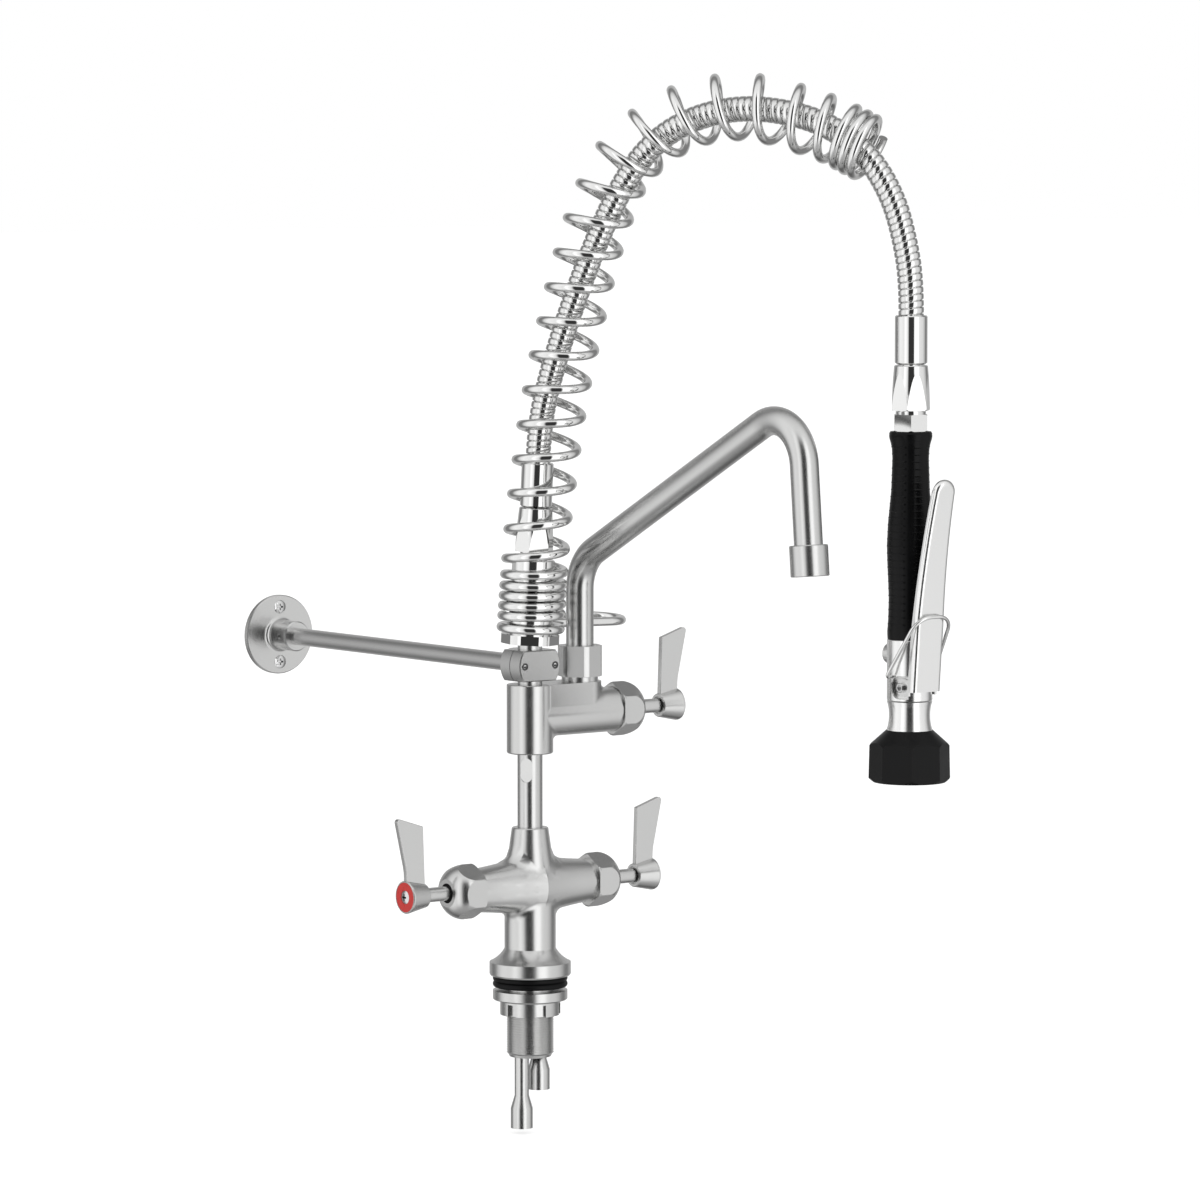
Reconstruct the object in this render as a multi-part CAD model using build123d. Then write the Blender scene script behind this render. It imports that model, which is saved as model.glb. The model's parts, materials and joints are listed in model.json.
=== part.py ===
from build123d import *
import math
import os

# Pre-rinse faucet. Millimetres. The origin is on the column's axis, in the plane of the deck
# that the rubber seal presses on. +Z is up, -Y is towards the user, the wall is at +Y, the hot
# valve is at -X and the cold valve at +X.

# ---- driving dimensions: column ----
SHANK_RADIUS = 16.5
THREAD_PITCH = 1.75
THREAD_DEPTH = 1.0
SHANK_BOTTOM = -49.0
SHANK_TOP = 30.0
SEAL_HEIGHT = 8.0
WASHER_TOP = -2.4
NUT_TOP = -3.6
NUT_BOTTOM = -19.5
TAIL_SPREAD = 7.4
TAIL_RADIUS = 5.0
TAIL_TOP = 52.0
TAIL_SOCKET_RADIUS = 7.7
TAIL_SOCKET_BORE = 6.4
TAIL_SOCKET_LENGTH = 14.0
HOT_TAIL_BOTTOM = -99.0
COLD_TAIL_BOTTOM = -73.0
COLUMN_RADIUS = 17.9
MIXER_HEIGHT = 70.7
NECK_TOP = 111.6
MIXER_NECK_BLEND = 14.0
MIXER_FOOT_BLEND = 8.5
RISER_RADIUS = 8.75
WRENCH_FLAT_DIRECTION = (-0.826, -0.558, 0)

# ---- driving dimensions: valves ----
MIXER_SEAT = 48.0
FILLER_SEAT = 70.0
NUT_LENGTH = 23.5
HUB_START = 42.5
HUB_END = 59.0
SPINDLE_RADIUS = 5.0
BLADE_THICKNESS = 4.0
BLADE_HEIGHT = 55.3
RUNNING_CLEARANCE = 0.05

# ---- driving dimensions: pot filler and spout ----
FILLER_BOTTOM = 163.4
FILLER_TOP = 211.5
FILLER_RADIUS = 16.2
FILLER_AXIS = 190.0
FILLER_ARM_RADIUS = 15.8
FILLER_ARM_BLEND = 6.0
FILLER_DECK_WIDTH = 30.0
FILLER_DECK_BLEND = 7.0
SPOUT_X = 43.5
SPOUT_RADIUS = 9.7
SPOUT_WALL = 1.7
SPOUT_FOOT = 203.0
SPOUT_KNEE = 294.7
SPOUT_SLOPE = 27.2
SPOUT_CREST = (243.0, 419.5)
SPOUT_TIP = (253.1, 303.0)
SPOUT_KNEE_BEND = 32.0
SPOUT_CREST_BEND = 31.0

# ---- driving dimensions: wall bracket ----
STEM_RADIUS = 8.5
CLAMP_HEIGHT = 225.0
CLAMP_HALF_HEIGHT = 10.8
CLAMP_RADIUS = 17.5
WALL_ARM_RADIUS = 6.25
WALL_FACE = 312.0
WALL_FLANGE_RADIUS = 29.0
WALL_SCREW_SPACING = 40.5

# ---- driving dimensions: spring arch and hose ----
ARCH_AZIMUTH = -57.0
WIRE_RADIUS = 3.1
COIL_RADIUS = 20.6
SEAT_BOTTOM = 240.0
SEAT_FLANGE = 6.4
SEAT_LEAN = 2.72
SEAT_FLAT_TURN = -25.0
LOWER_NUT_FOOT = 64.0
HOSE_RADIUS = 8.75
GUN_REACH = 275.0
HOOK_CENTRE = (86.0, 40.0)
HOOK_RADIUS = 19.4

# The hose's route in the plane of the arch: (reach from the column's axis, height).
HOSE_ROUTE = [
    (6.0, 365.6),
    (7.2, 391.0),
    (14.2, 422.0),
    (25.5, 458.0),
    (38.5, 493.0),
    (53.0, 528.0),
    (69.0, 559.5),
    (88.0, 584.5),
    (115.0, 602.0),
    (150.0, 610.5),
    (186.0, 608.0),
    (219.0, 597.5),
    (245.0, 577.5),
    (262.0, 550.0),
    (270.5, 520.5),
    (274.8, 494.0),
    (275.0, 470.4),
]

# The spring's own axis in the same plane. The hose lies low in it over the crest.
SPRING_AXIS = [
    (1.0, 257.9),
    (3.0, 286.0),
    (8.0, 340.0),
    (25.0, 441.0),
    (61.5, 560.5),
    (102.0, 599.0),
    (154.0, 611.0),
    (212.0, 597.5),
    (246.6, 581.5),
]

# The winding from the spring's foot: (turns, pitch). The wire ends LAST_ARC into its last half turn.
WINDING = [(4, 7.0), (1, 10.0), (1, 20.6), (11, 24.0), (5, 27.2), (1, 22.1), (1, 17.0), (3, 7.0)]
LAST_ARC = 118.0

# ---- driving dimensions: spray gun ----
UPPER_NUT_FOOT = 406.2
BODY_RADIUS = 15.5
BODY_BOTTOM = 209.2
BODY_TOP = 251.0
GRIP_TOP = 392.0
CORE_RADIUS = 7.0
BUMPER_BOTTOM = 153.8
BUMPER_SHOULDER = 178.3
BUMPER_TOP = 189.2
BUMPER_ACROSS = 51.4
FACE_TOP = 175.1
TRIGGER_PIVOT = (-6.5, 219.0)
TRIGGER_WIDTH = 25.0
TRIGGER_SHEET = 1.6
TRIGGER_TOP_WIDTH = 18.4
TRIGGER_FOOT = 216.2
TRIGGER_ROUNDING = 3.5
PLUNGER_HEIGHT = 240.0
BAIL_HEIGHT = 226.1
BAIL_LIFT = 57.7
BAIL_WIRE = 1.25


# ---- helpers ----
def xz(point):
    """A point of an outline in the XZ plane."""
    return (point[0], 0, point[1])


def outline(start, *steps):
    """A closed face in the XZ plane. A step is a point, or a pair (middle, end) for an arc."""
    here = start
    edges = []
    for step in steps:
        is_arc = isinstance(step[0], tuple)
        end = step[1] if is_arc else step
        if is_arc:
            edges.append(ThreePointArc(xz(here), xz(step[0]), xz(end)))
        else:
            edges.append(Line(xz(here), xz(end)))
        here = end
    edges.append(Line(xz(here), xz(start)))
    return make_face(Curve() + edges)


def turned(start, *steps):
    """A solid of revolution about Z from an outline of (radius, height) points."""
    return revolve(outline(start, *steps), Axis.Z)


def rod(radius, start, end):
    """A straight round bar between two points."""
    direction = Vector(*end) - Vector(*start)
    place = Plane(origin=start, z_dir=direction)
    return extrude(place * Circle(radius), direction.length, dir=direction.normalized())


def cylinder_up(radius, height):
    """A round bar that stands on its place."""
    return extrude(Circle(radius), height)


def hexagon(across_flats, bottom, top, turn=0.0):
    """A hexagonal prism about Z with its corners chamfered at both ends."""
    radius = across_flats / math.sqrt(3)
    height = top - bottom
    edge = 0.6 * (radius - across_flats / 2)
    prism = Pos(0, 0, bottom) * extrude(Rot(0, 0, turn) * RegularPolygon(radius, 6), height)
    slope = edge * 0.6
    blank = turned(
        (0, bottom), (radius - edge, bottom), (radius, bottom + slope),
        (radius, top - slope), (radius - edge, top), (0, top),
    )
    return prism & blank


def cross_recess(span, depth, top):
    """The cutter for a cross recess in a screw head whose face is at height top."""
    arm = 0.28 * span
    bars = Rectangle(span, arm) + Rectangle(arm, span)
    return Pos(0, 0, top - depth) * extrude(bars, depth + 1)


def arch_point(reach, height, side=0.0):
    """A point given by its reach and height in the plane of the arch, and its distance behind it."""
    angle = math.radians(ARCH_AZIMUTH)
    x = reach * math.cos(angle) - side * math.sin(angle)
    y = reach * math.sin(angle) + side * math.cos(angle)
    return Vector(x, y, height)


def valve_place(side, seat, height):
    """The place of a valve's parts: local Z runs outwards from its seat and local Y is up."""
    return Plane(origin=(side * seat, 0, height), x_dir=(0, side, 0), z_dir=(side, 0, 0)).location


def save(node, shape):
    """Write one named piece, and print its volume."""
    shape.label = node
    export_step(shape, os.path.join("parts", node + ".step"))
    print(node, round(shape.volume))


# ---- below the deck ----
def threaded_shank():
    crests = int((WASHER_TOP - SHANK_BOTTOM) / THREAD_PITCH)
    thread = []
    for index in range(crests):
        height = SHANK_BOTTOM + 2.0 + index * THREAD_PITCH
        thread.append((SHANK_RADIUS - THREAD_DEPTH, height))
        thread.append((SHANK_RADIUS, height + THREAD_PITCH / 2))
    bore = SHANK_RADIUS - 3.2
    return turned(
        (bore, SHANK_BOTTOM), (SHANK_RADIUS - 2.0, SHANK_BOTTOM), *thread,
        (SHANK_RADIUS, SEAL_HEIGHT), (SHANK_RADIUS, SHANK_TOP), (bore, SHANK_TOP),
    )


def deck_seal():
    inner = SHANK_RADIUS + 0.2
    rim = 25.0
    middle = SEAL_HEIGHT / 2
    return turned(
        (inner, 0), (rim, 0), ((rim + 1.1, middle / 2), (rim, middle)),
        ((rim + 1.1, 1.5 * middle), (rim, SEAL_HEIGHT)), (inner, SEAL_HEIGHT),
    )


def clamp_washer():
    return turned((SHANK_RADIUS + 0.4, NUT_TOP), (26.0, NUT_TOP), (26.0, WASHER_TOP),
                  (SHANK_RADIUS + 0.4, WASHER_TOP))


def back_nut():
    bore = SHANK_RADIUS + 0.1
    collar = NUT_TOP - 5.4
    nut = turned(
        (bore, NUT_BOTTOM), (21.0, NUT_BOTTOM), (21.0, collar - 1.2), (23.0, collar),
        (25.4, collar), (26.0, collar + 0.6), (26.0, NUT_TOP), (bore, NUT_TOP),
    )
    notch = Pos(20.5, 0, (NUT_BOTTOM + collar) / 2 - 1.5) * Box(5.0, 7.0, collar - NUT_BOTTOM - 1.5)
    for index in range(6):
        nut -= Rot(0, 0, 60 * index + 15) * notch
    return nut


def tail(side, bottom):
    socket_top = bottom + TAIL_SOCKET_LENGTH
    inner = TAIL_RADIUS - 1.0
    pipe = turned(
        (TAIL_SOCKET_BORE, bottom), (TAIL_SOCKET_RADIUS, bottom), (TAIL_SOCKET_RADIUS, socket_top),
        (TAIL_RADIUS, socket_top + 9), (TAIL_RADIUS, TAIL_TOP), (inner, TAIL_TOP),
        (inner, socket_top + 9.5), (TAIL_SOCKET_BORE, socket_top),
    )
    return Pos(side * TAIL_SPREAD, 0, 0) * pipe


# ---- mixing body ----
def arm_joints(body, bottom, top):
    """The curves in which the arms meet the column, between two heights."""
    joints = []
    for edge in body.edges():
        if edge.geom_type not in (GeomType.LINE, GeomType.CIRCLE) and bottom < edge.center().Z < top:
            joints.append(edge)
    return joints


def mixing_body():
    column = Rot(0, 0, 45) * turned(
        (0, SEAL_HEIGHT), (27.6, SEAL_HEIGHT), (28.4, SEAL_HEIGHT + 1.2), (28.4, 17.4),
        ((22.5, 21.2), (COLUMN_RADIUS, 27.0)), (COLUMN_RADIUS, 62.0), (18.8, 78.0),
        ((16.6, 87.0), (15.0, 95.5)), (12.8, NECK_TOP - 0.6), (12.2, NECK_TOP), (0, NECK_TOP),
    )
    arm = turned((0, 0), (21.5, 0), ((17.9, 22.0), (15.0, MIXER_SEAT)), (0, MIXER_SEAT))
    body = column
    for side in (-1, 1):
        body += valve_place(side, 0, MIXER_HEIGHT) * arm
    body = fillet(arm_joints(body, MIXER_HEIGHT, NECK_TOP), MIXER_NECK_BLEND)
    body = fillet(arm_joints(body, SEAL_HEIGHT, MIXER_HEIGHT - 5), MIXER_FOOT_BLEND)
    body -= Pos(0, 0, SEAL_HEIGHT) * cylinder_up(SHANK_RADIUS + RUNNING_CLEARANCE, SHANK_TOP - SEAL_HEIGHT)
    body -= Pos(0, 0, 66) * cylinder_up(6.0, NECK_TOP - 66)
    body -= Pos(0, 0, NECK_TOP - 9) * cylinder_up(RISER_RADIUS + RUNNING_CLEARANCE, 9)
    for side in (-1, 1):
        body -= rod(10.0, (side * 26, 0, MIXER_HEIGHT), (side * MIXER_SEAT, 0, MIXER_HEIGHT))
        body -= rod(3.5, (0, 0, 73.0), (side * 27, 0, 73.0))
        body -= rod(TAIL_RADIUS + RUNNING_CLEARANCE, (side * TAIL_SPREAD, 0, SHANK_TOP - 1),
                    (side * TAIL_SPREAD, 0, TAIL_TOP))
        body -= rod(3.0, (side * TAIL_SPREAD, 0, TAIL_TOP - 2), (side * 28, 0, 64.0))
    return body


def riser_tube():
    bottom = NECK_TOP - 9
    top = FILLER_BOTTOM + 9
    tube = turned((6.0, bottom), (RISER_RADIUS, bottom), (RISER_RADIUS, top), (6.0, top))
    flat = Plane(origin=(0, 0, 152), x_dir=(0, 0, 1), z_dir=WRENCH_FLAT_DIRECTION)
    pocket = extrude(flat.offset(RISER_RADIUS - 1.1) * SlotOverall(17, 8.4), 4)
    return tube - pocket


# ---- valves ----
def bonnet_nut():
    dome = turned(
        (0, 0), (15.4, 0), (15.4, 0.8), (17.0, 0.8), ((18.5, 1.4), (19.1, 2.9)), (19.1, 8.5),
        ((16.8, 17.6), (9.8, NUT_LENGTH)), (0, NUT_LENGTH),
    )
    prism = extrude(Rot(0, 0, 30) * RegularPolygon(33.4 / math.sqrt(3), 6), NUT_LENGTH)
    nut = dome & prism
    nut -= turned((0, 0), (12.5, 0), (12.5, 3.0), (9.0, 3.0), (9.0, 20.5), (6.9, 20.5), (6.9, 24), (0, 24))
    return nut


def cartridge():
    bore = SPINDLE_RADIUS + RUNNING_CLEARANCE
    return turned(
        (bore, -21), (9.9, -21), (9.9, 0), (12.3, 0), (12.3, 2.9), (8.9, 2.9), (8.9, 20.4), (bore, 20.4),
    )


def spindle():
    tip = HUB_END - 5
    return turned(
        (0, -20), (SPINDLE_RADIUS, -20), (SPINDLE_RADIUS, tip - 0.6), (SPINDLE_RADIUS - 0.6, tip),
        (2.1, tip), (2.1, tip - 10), (0, tip - 10),
    )


def lever():
    hub = turned(
        (6.3, HUB_START), (7.8, HUB_START), (8.3, HUB_START + 0.5), (11.3, HUB_END - 1.4),
        (11.3, HUB_END - 0.4), (10.9, HUB_END), (10.3, HUB_END), (10.3, HUB_END - 1.4),
        (2.6, HUB_END - 1.4), (2.6, HUB_END - 5), (5.02, HUB_END - 5), (5.02, HUB_START + 2.6),
        (6.3, HUB_START + 2.6),
    )
    bore = turned((0, HUB_START), (6.3, HUB_START), (6.3, HUB_START + 2.6), (5.02, HUB_START + 2.6),
                  (5.02, HUB_END - 5), (2.6, HUB_END - 5), (2.6, HUB_END - 1.4), (10.3, HUB_END - 1.4),
                  (10.3, HUB_END), (0, HUB_END))
    root = HUB_START + 0.6
    outer = HUB_END - 0.4
    side_view = Plane(origin=(-BLADE_THICKNESS / 2, 0, 0), x_dir=(0, 0, 1), z_dir=(1, 0, 0))
    edges = [
        Line((root, 0), (outer, 0)),
        Line((outer, 0), (outer, 13)),
        ThreePointArc((outer, 13), (outer + 0.35, 18), (outer + 1.3, 23)),
        Line((outer + 1.3, 23), (outer + 8.5, BLADE_HEIGHT)),
        Line((outer + 8.5, BLADE_HEIGHT), (root + 1.7, BLADE_HEIGHT - 7.2)),
        Line((root + 1.7, BLADE_HEIGHT - 7.2), (root, 0)),
    ]
    face = make_face(Curve() + edges)
    tip = face.vertices().sort_by(Axis.Y)[-2:]
    face = fillet(tip[-1], 2.2)
    face = fillet(face.vertices().sort_by(Axis((0, 0, 0), (-0.4, 1, 0)))[-1], 0.8)
    blade = extrude(side_view * mirror(face, Plane.XZ), BLADE_THICKNESS)
    blade = fillet(blade.edges().filter_by(GeomType.LINE).filter_by_position(Axis.Y, 14, 70), 0.5)
    return hub + (blade - bore)


def index_disc():
    return turned((4.7, HUB_END - 1.3), (10.2, HUB_END - 1.3), (10.2, HUB_END - 0.1), (4.7, HUB_END - 0.1))


def lever_screw():
    head = HUB_END - 1.35
    screw = turned(
        (0, HUB_END - 13), (2.0, HUB_END - 13), (2.0, head), (4.6, head), (4.6, head + 1.0),
        ((3.0, head + 1.7), (0, head + 2.0)),
    )
    return screw - cross_recess(4.6, 1.4, head + 2.0)


# ---- pot filler ----
def filler_arm():
    """The round arm to the valve with the flat deck above it, blended into one another."""
    arm = Plane(origin=(0, 0, FILLER_AXIS), x_dir=(0, 0, -1), z_dir=(1, 0, 0)).location * cylinder_up(
        FILLER_ARM_RADIUS, FILLER_SEAT)
    deck_plan = Pos(SPOUT_X / 2, 0) * Rectangle(SPOUT_X, FILLER_DECK_WIDTH)
    deck_plan += Pos(SPOUT_X, 0) * Circle(FILLER_DECK_WIDTH / 2)
    deck = Pos(0, 0, FILLER_AXIS) * extrude(deck_plan, FILLER_TOP - FILLER_AXIS)
    body = arm + deck
    joints = []
    for edge in body.edges():
        height = edge.center().Z
        above_arm = FILLER_AXIS + 1 < height < FILLER_TOP - 1
        if above_arm and edge.geom_type != GeomType.CIRCLE and edge.length > FILLER_DECK_WIDTH:
            joints.append(edge)
    return fillet(joints, FILLER_DECK_BLEND)


def pot_filler_body():
    barrel = Rot(0, 0, 180) * turned(
        (0, FILLER_BOTTOM), (FILLER_RADIUS - 0.8, FILLER_BOTTOM), (FILLER_RADIUS, FILLER_BOTTOM + 0.8),
        (FILLER_RADIUS, FILLER_TOP - 0.5), (FILLER_RADIUS - 0.5, FILLER_TOP), (0, FILLER_TOP),
    )
    body = filler_arm() + barrel
    joints = []
    for edge in body.edges():
        middle = edge.center()
        if edge.geom_type == GeomType.BSPLINE and middle.Z < FILLER_AXIS and middle.X > 3:
            joints.append(edge)
    body = fillet(joints, FILLER_ARM_BLEND)
    boss = Pos(SPOUT_X, 0, FILLER_TOP) * cylinder_up(12.8, 12.5)
    body += boss
    body -= Pos(0, 0, FILLER_BOTTOM) * cylinder_up(RISER_RADIUS + RUNNING_CLEARANCE, 9)
    body -= Pos(0, 0, FILLER_BOTTOM) * cylinder_up(6.0, FILLER_TOP - FILLER_BOTTOM)
    body -= Pos(0, 0, FILLER_TOP - 10) * cylinder_up(STEM_RADIUS + RUNNING_CLEARANCE, 10)
    body -= Pos(SPOUT_X, 0, SPOUT_FOOT - 0.5) * cylinder_up(SPOUT_RADIUS + RUNNING_CLEARANCE, 30)
    body -= rod(10.0, (SPOUT_X + 5, 0, FILLER_AXIS), (FILLER_SEAT, 0, FILLER_AXIS))
    body -= rod(4.5, (0, 0, FILLER_AXIS - 6), (SPOUT_X + 6, 0, FILLER_AXIS - 6))
    body -= rod(4.5, (SPOUT_X, 0, FILLER_AXIS), (SPOUT_X, 0, SPOUT_FOOT))
    return body


def spout_gland_nut():
    bottom = FILLER_TOP + 3.4
    top = FILLER_TOP + 25.0
    nut = hexagon(28.6, bottom, top, turn=11.0) & Pos(0, 0, bottom) * cylinder_up(15.5, top - bottom)
    nut -= Pos(0, 0, FILLER_TOP) * cylinder_up(12.9, 20)
    nut -= Pos(0, 0, FILLER_TOP) * cylinder_up(SPOUT_RADIUS + 0.35, 30)
    return Pos(SPOUT_X, 0, 0) * nut


def spout_path(start_height):
    """The spout's centre line from a height on its upright leg to its tip."""
    points = [(0, start_height), (0, SPOUT_KNEE), SPOUT_CREST, SPOUT_TIP]
    places = [(SPOUT_X, -reach, height) for reach, height in points]
    return FilletPolyline(*places, radius=[SPOUT_KNEE_BEND, SPOUT_CREST_BEND])


def spout_tube():
    path = spout_path(FILLER_TOP + 20)
    section = Plane(origin=(SPOUT_X, 0, FILLER_TOP + 20), z_dir=(0, 0, 1)) * (
        Circle(SPOUT_RADIUS) - Circle(SPOUT_RADIUS - SPOUT_WALL))
    tube = sweep(section, path=path)
    collar_bottom = FILLER_TOP + 12.9
    foot = turned(
        (6.0, SPOUT_FOOT), (SPOUT_RADIUS, SPOUT_FOOT), (SPOUT_RADIUS, SPOUT_FOOT + 3),
        (8.2, SPOUT_FOOT + 3), (8.2, SPOUT_FOOT + 5.4), (SPOUT_RADIUS, SPOUT_FOOT + 5.4),
        (SPOUT_RADIUS, collar_bottom), (12.5, collar_bottom), (12.5, collar_bottom + 3),
        (SPOUT_RADIUS, collar_bottom + 3), (SPOUT_RADIUS, FILLER_TOP + 20),
        (SPOUT_RADIUS - SPOUT_WALL, FILLER_TOP + 20), (6.0, FILLER_TOP + 17),
    )
    return tube + Pos(SPOUT_X, 0, 0) * foot


def spout_tip_place():
    """A frame at the spout's end whose Z runs out along the water jet."""
    crest = Vector(SPOUT_X, -SPOUT_CREST[0], SPOUT_CREST[1])
    tip = Vector(SPOUT_X, -SPOUT_TIP[0], SPOUT_TIP[1])
    return Plane(origin=tip, x_dir=(1, 0, 0), z_dir=tip - crest).location


def aerator_housing():
    inner = SPOUT_RADIUS + 0.05
    shell = turned(
        (inner, -17.8), (12.4, -17.8), (13.0, -17.2), (13.0, 2.8), (12.5, 3.3), (10.7, 3.3), (10.7, 0.4),
        (inner, 0.4),
    )
    return spout_tip_place() * shell


def aerator_insert():
    disc = turned((0, 0.6), (10.6, 0.6), (10.6, 2.9), (9.5, 2.9), (9.5, 2.0), (0, 2.0))
    hole = cylinder_up(0.7, 6)
    for index in range(12):
        disc -= Rot(0, 0, 30 * index) * Pos(7.0, 0, 0) * hole
    for index in range(6):
        disc -= Rot(0, 0, 60 * index) * Pos(3.6, 0, 0) * hole
    return spout_tip_place() * disc


# ---- wall bracket ----
def upper_stem():
    bottom = FILLER_TOP - 10
    top = SEAT_BOTTOM + SEAT_FLANGE
    return turned((6.0, bottom), (STEM_RADIUS, bottom), (STEM_RADIUS, top), (6.0, top))


def clamp_blank(near, far):
    """The clamp's round outline with flat top and bottom, between two depths along Y."""
    drum = rod(CLAMP_RADIUS, (0, near, CLAMP_HEIGHT), (0, far, CLAMP_HEIGHT))
    slab = Pos(0, (near + far) / 2, CLAMP_HEIGHT) * Box(60, far - near, 2 * CLAMP_HALF_HEIGHT)
    return drum & slab


def clamp_holes(radius, near, far):
    """The two screw holes beside the stem."""
    holes = []
    for side in (-1, 1):
        holes.append(rod(radius, (side * 13, near, CLAMP_HEIGHT), (side * 13, far, CLAMP_HEIGHT)))
    return holes


def stem_bore():
    return Pos(0, 0, CLAMP_HEIGHT - 20) * cylinder_up(STEM_RADIUS + 0.02, 40)


def clamp_front():
    jaw = clamp_blank(-12.0, -0.3)
    jaw = chamfer(jaw.faces().sort_by(Axis.Y)[0].edges(), 0.7)
    jaw -= stem_bore()
    for hole in clamp_holes(1.6, -13, 1) + clamp_holes(2.5, -13, -9.4):
        jaw -= hole
    return jaw


def clamp_rear():
    jaw = clamp_blank(0.3, 11.0)
    cone = Plane(origin=(0, 10.0, CLAMP_HEIGHT), x_dir=(1, 0, 0), z_dir=(0, 1, 0)).location * turned(
        (0, 0), (15.2, 0), (15.2, 1), (8.4, 12), (0, 12))
    slab = Pos(0, 16, CLAMP_HEIGHT) * Box(60, 14, 2 * CLAMP_HALF_HEIGHT)
    jaw = jaw + (cone & slab)
    jaw -= stem_bore()
    for hole in clamp_holes(1.45, 0, 8):
        jaw -= hole
    jaw -= rod(WALL_ARM_RADIUS + 0.03, (0, 13, CLAMP_HEIGHT), (0, 30, CLAMP_HEIGHT))
    return jaw


def clamp_screws():
    screw = turned((0, -17), (1.4, -17), (1.4, -2.5), (2.3, -2.5), (2.3, 0), (0, 0))
    screw -= Pos(0, 0, -1.4) * extrude(RegularPolygon(1.3, 6), 2)
    place = Plane(origin=(0, -11.9, CLAMP_HEIGHT), x_dir=(1, 0, 0), z_dir=(0, -1, 0)).location
    pair = [place * Pos(side * 13, 0, 0) * screw for side in (-1, 1)]
    return Compound(children=pair)


def wall_arm():
    return rod(WALL_ARM_RADIUS, (0, 13.5, CLAMP_HEIGHT), (0, WALL_FACE - 6, CLAMP_HEIGHT))


def wall_place():
    """A frame on the wall whose Z comes out towards the user."""
    return Plane(origin=(0, WALL_FACE, CLAMP_HEIGHT), x_dir=(1, 0, 0), z_dir=(0, -1, 0)).location


def wall_flange():
    bore = WALL_ARM_RADIUS + 0.05
    flange = turned(
        (0, 0), (WALL_FLANGE_RADIUS, 0), (WALL_FLANGE_RADIUS, 3.2), (WALL_FLANGE_RADIUS - 0.6, 3.8),
        (14.0, 3.8), ((11.9, 4.7), (11.0, 6.8)), (11.0, 25.2), (10.2, 26.0), (0, 26.0),
    )
    flange -= Pos(0, 0, 6) * cylinder_up(bore, 25)
    hole = turned((0, -1), (2.6, -1), (2.6, 1.2), (5.0, 3.6), (5.0, 6), (0, 6))
    for side in (-1, 1):
        flange -= Pos(0, side * WALL_SCREW_SPACING / 2, 0) * hole
    flange -= rod(2.0, (-12, 0, 19), (-WALL_ARM_RADIUS + 1, 0, 19))
    return wall_place() * flange


def flange_set_screw():
    screw = rod(1.95, (-10.4, 0, 19), (-WALL_ARM_RADIUS - 0.1, 0, 19))
    socket = Plane(origin=(-11, 0, 19), z_dir=(1, 0, 0)) * RegularPolygon(1.1, 6)
    screw -= extrude(socket, 2.4)
    return wall_place() * screw


def wall_screws():
    screw = turned((0, 0.05), (2.3, 0.05), (2.3, 1.2), (4.7, 3.4), ((2.6, 4.2), (0, 4.4)))
    screw -= cross_recess(4.8, 1.6, 4.4)
    pair = [Pos(0, side * WALL_SCREW_SPACING / 2, 0) * screw for side in (-1, 1)]
    return Compound(children=[wall_place() * piece for piece in pair])


# ---- spring seat and hose fittings ----
def seat_place():
    """The leaning axis of the spring seat and the lower hose fittings, with Z along the hose."""
    lean = math.radians(SEAT_LEAN)
    along = arch_point(math.sin(lean), math.cos(lean)) - arch_point(0, 0)
    return Plane(origin=(0, 0, SEAT_BOTTOM), x_dir=(1, 0, 0), z_dir=along).location


def spring_seat():
    seat = hexagon(38.6, 0, SEAT_FLANGE, turn=22.7) & cylinder_up(20.3, SEAT_FLANGE)
    seat += turned((0, SEAT_FLANGE), (15.3, SEAT_FLANGE), (15.3, 58.0), (14.8, 58.5), (0, 58.5))
    seat += Pos(0, 0, 58.5) * cylinder_up(9.6, 8)
    flat = Pos(0, 0, 54.5) * Box(40, 40, 8.2) - Pos(0, 0, 54.5) * Box(27.4, 40, 9)
    seat -= Rot(0, 0, SEAT_FLAT_TURN) * flat
    seat -= cylinder_up(6.0, 70)
    seat -= Pos(0, 0, -1) * cylinder_up(STEM_RADIUS + 0.5, SEAT_FLANGE + 2)
    return seat_place() * seat


def swivel_nut():
    """A union nut: a cone that widens downwards, with six flats that fade out towards its top."""
    cone = turned(
        (0, 0), (13.0, 0), (13.9, 1.0), (13.7, 3.0), (11.5, 30.0), (10.9, 30.6), (0, 30.6),
    )
    prism = extrude(Rot(0, 0, 39.5) * RegularPolygon(23.8 / math.sqrt(3), 6), 31)
    nut = cone & prism
    nut -= Pos(0, 0, -1) * cylinder_up(10.2, 13)
    nut -= cylinder_up(6.06, 40)
    return nut


def lower_swivel_nut():
    return seat_place() * Pos(0, 0, LOWER_NUT_FOOT) * swivel_nut()


def ferrule(bottom, top):
    """The crimped ferrule, with a rolled lip where the hose enters."""
    return turned(
        (6.0, bottom), (9.2, bottom), (11.1, bottom + 1.3), (11.1, top - 0.8), (10.4, top), (6.0, top),
    )


def lower_ferrule():
    top = (HOSE_ROUTE[0][1] - SEAT_BOTTOM) / math.cos(math.radians(SEAT_LEAN))
    return seat_place() * ferrule(LOWER_NUT_FOOT + 30.8, top)


def hose():
    points = [arch_point(reach, height) for reach, height in HOSE_ROUTE]
    radii = []
    for before, corner, after in zip(points, points[1:], points[2:]):
        arriving = corner - before
        leaving = after - corner
        turn = math.radians(arriving.get_angle(leaving))
        radii.append(0.45 * min(arriving.length, leaving.length) / math.tan(turn / 2))
    path = FilletPolyline(*points, radius=radii)
    start = Plane(origin=points[0], z_dir=points[1] - points[0])
    tube = sweep(start * Circle(HOSE_RADIUS), path=path)
    print("hose radii", [round(radius) for radius in radii])
    print("hose length", round(path.length, 1), "volume ratio",
          round(tube.volume / (math.pi * HOSE_RADIUS ** 2 * path.length), 4))
    return tube


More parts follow.
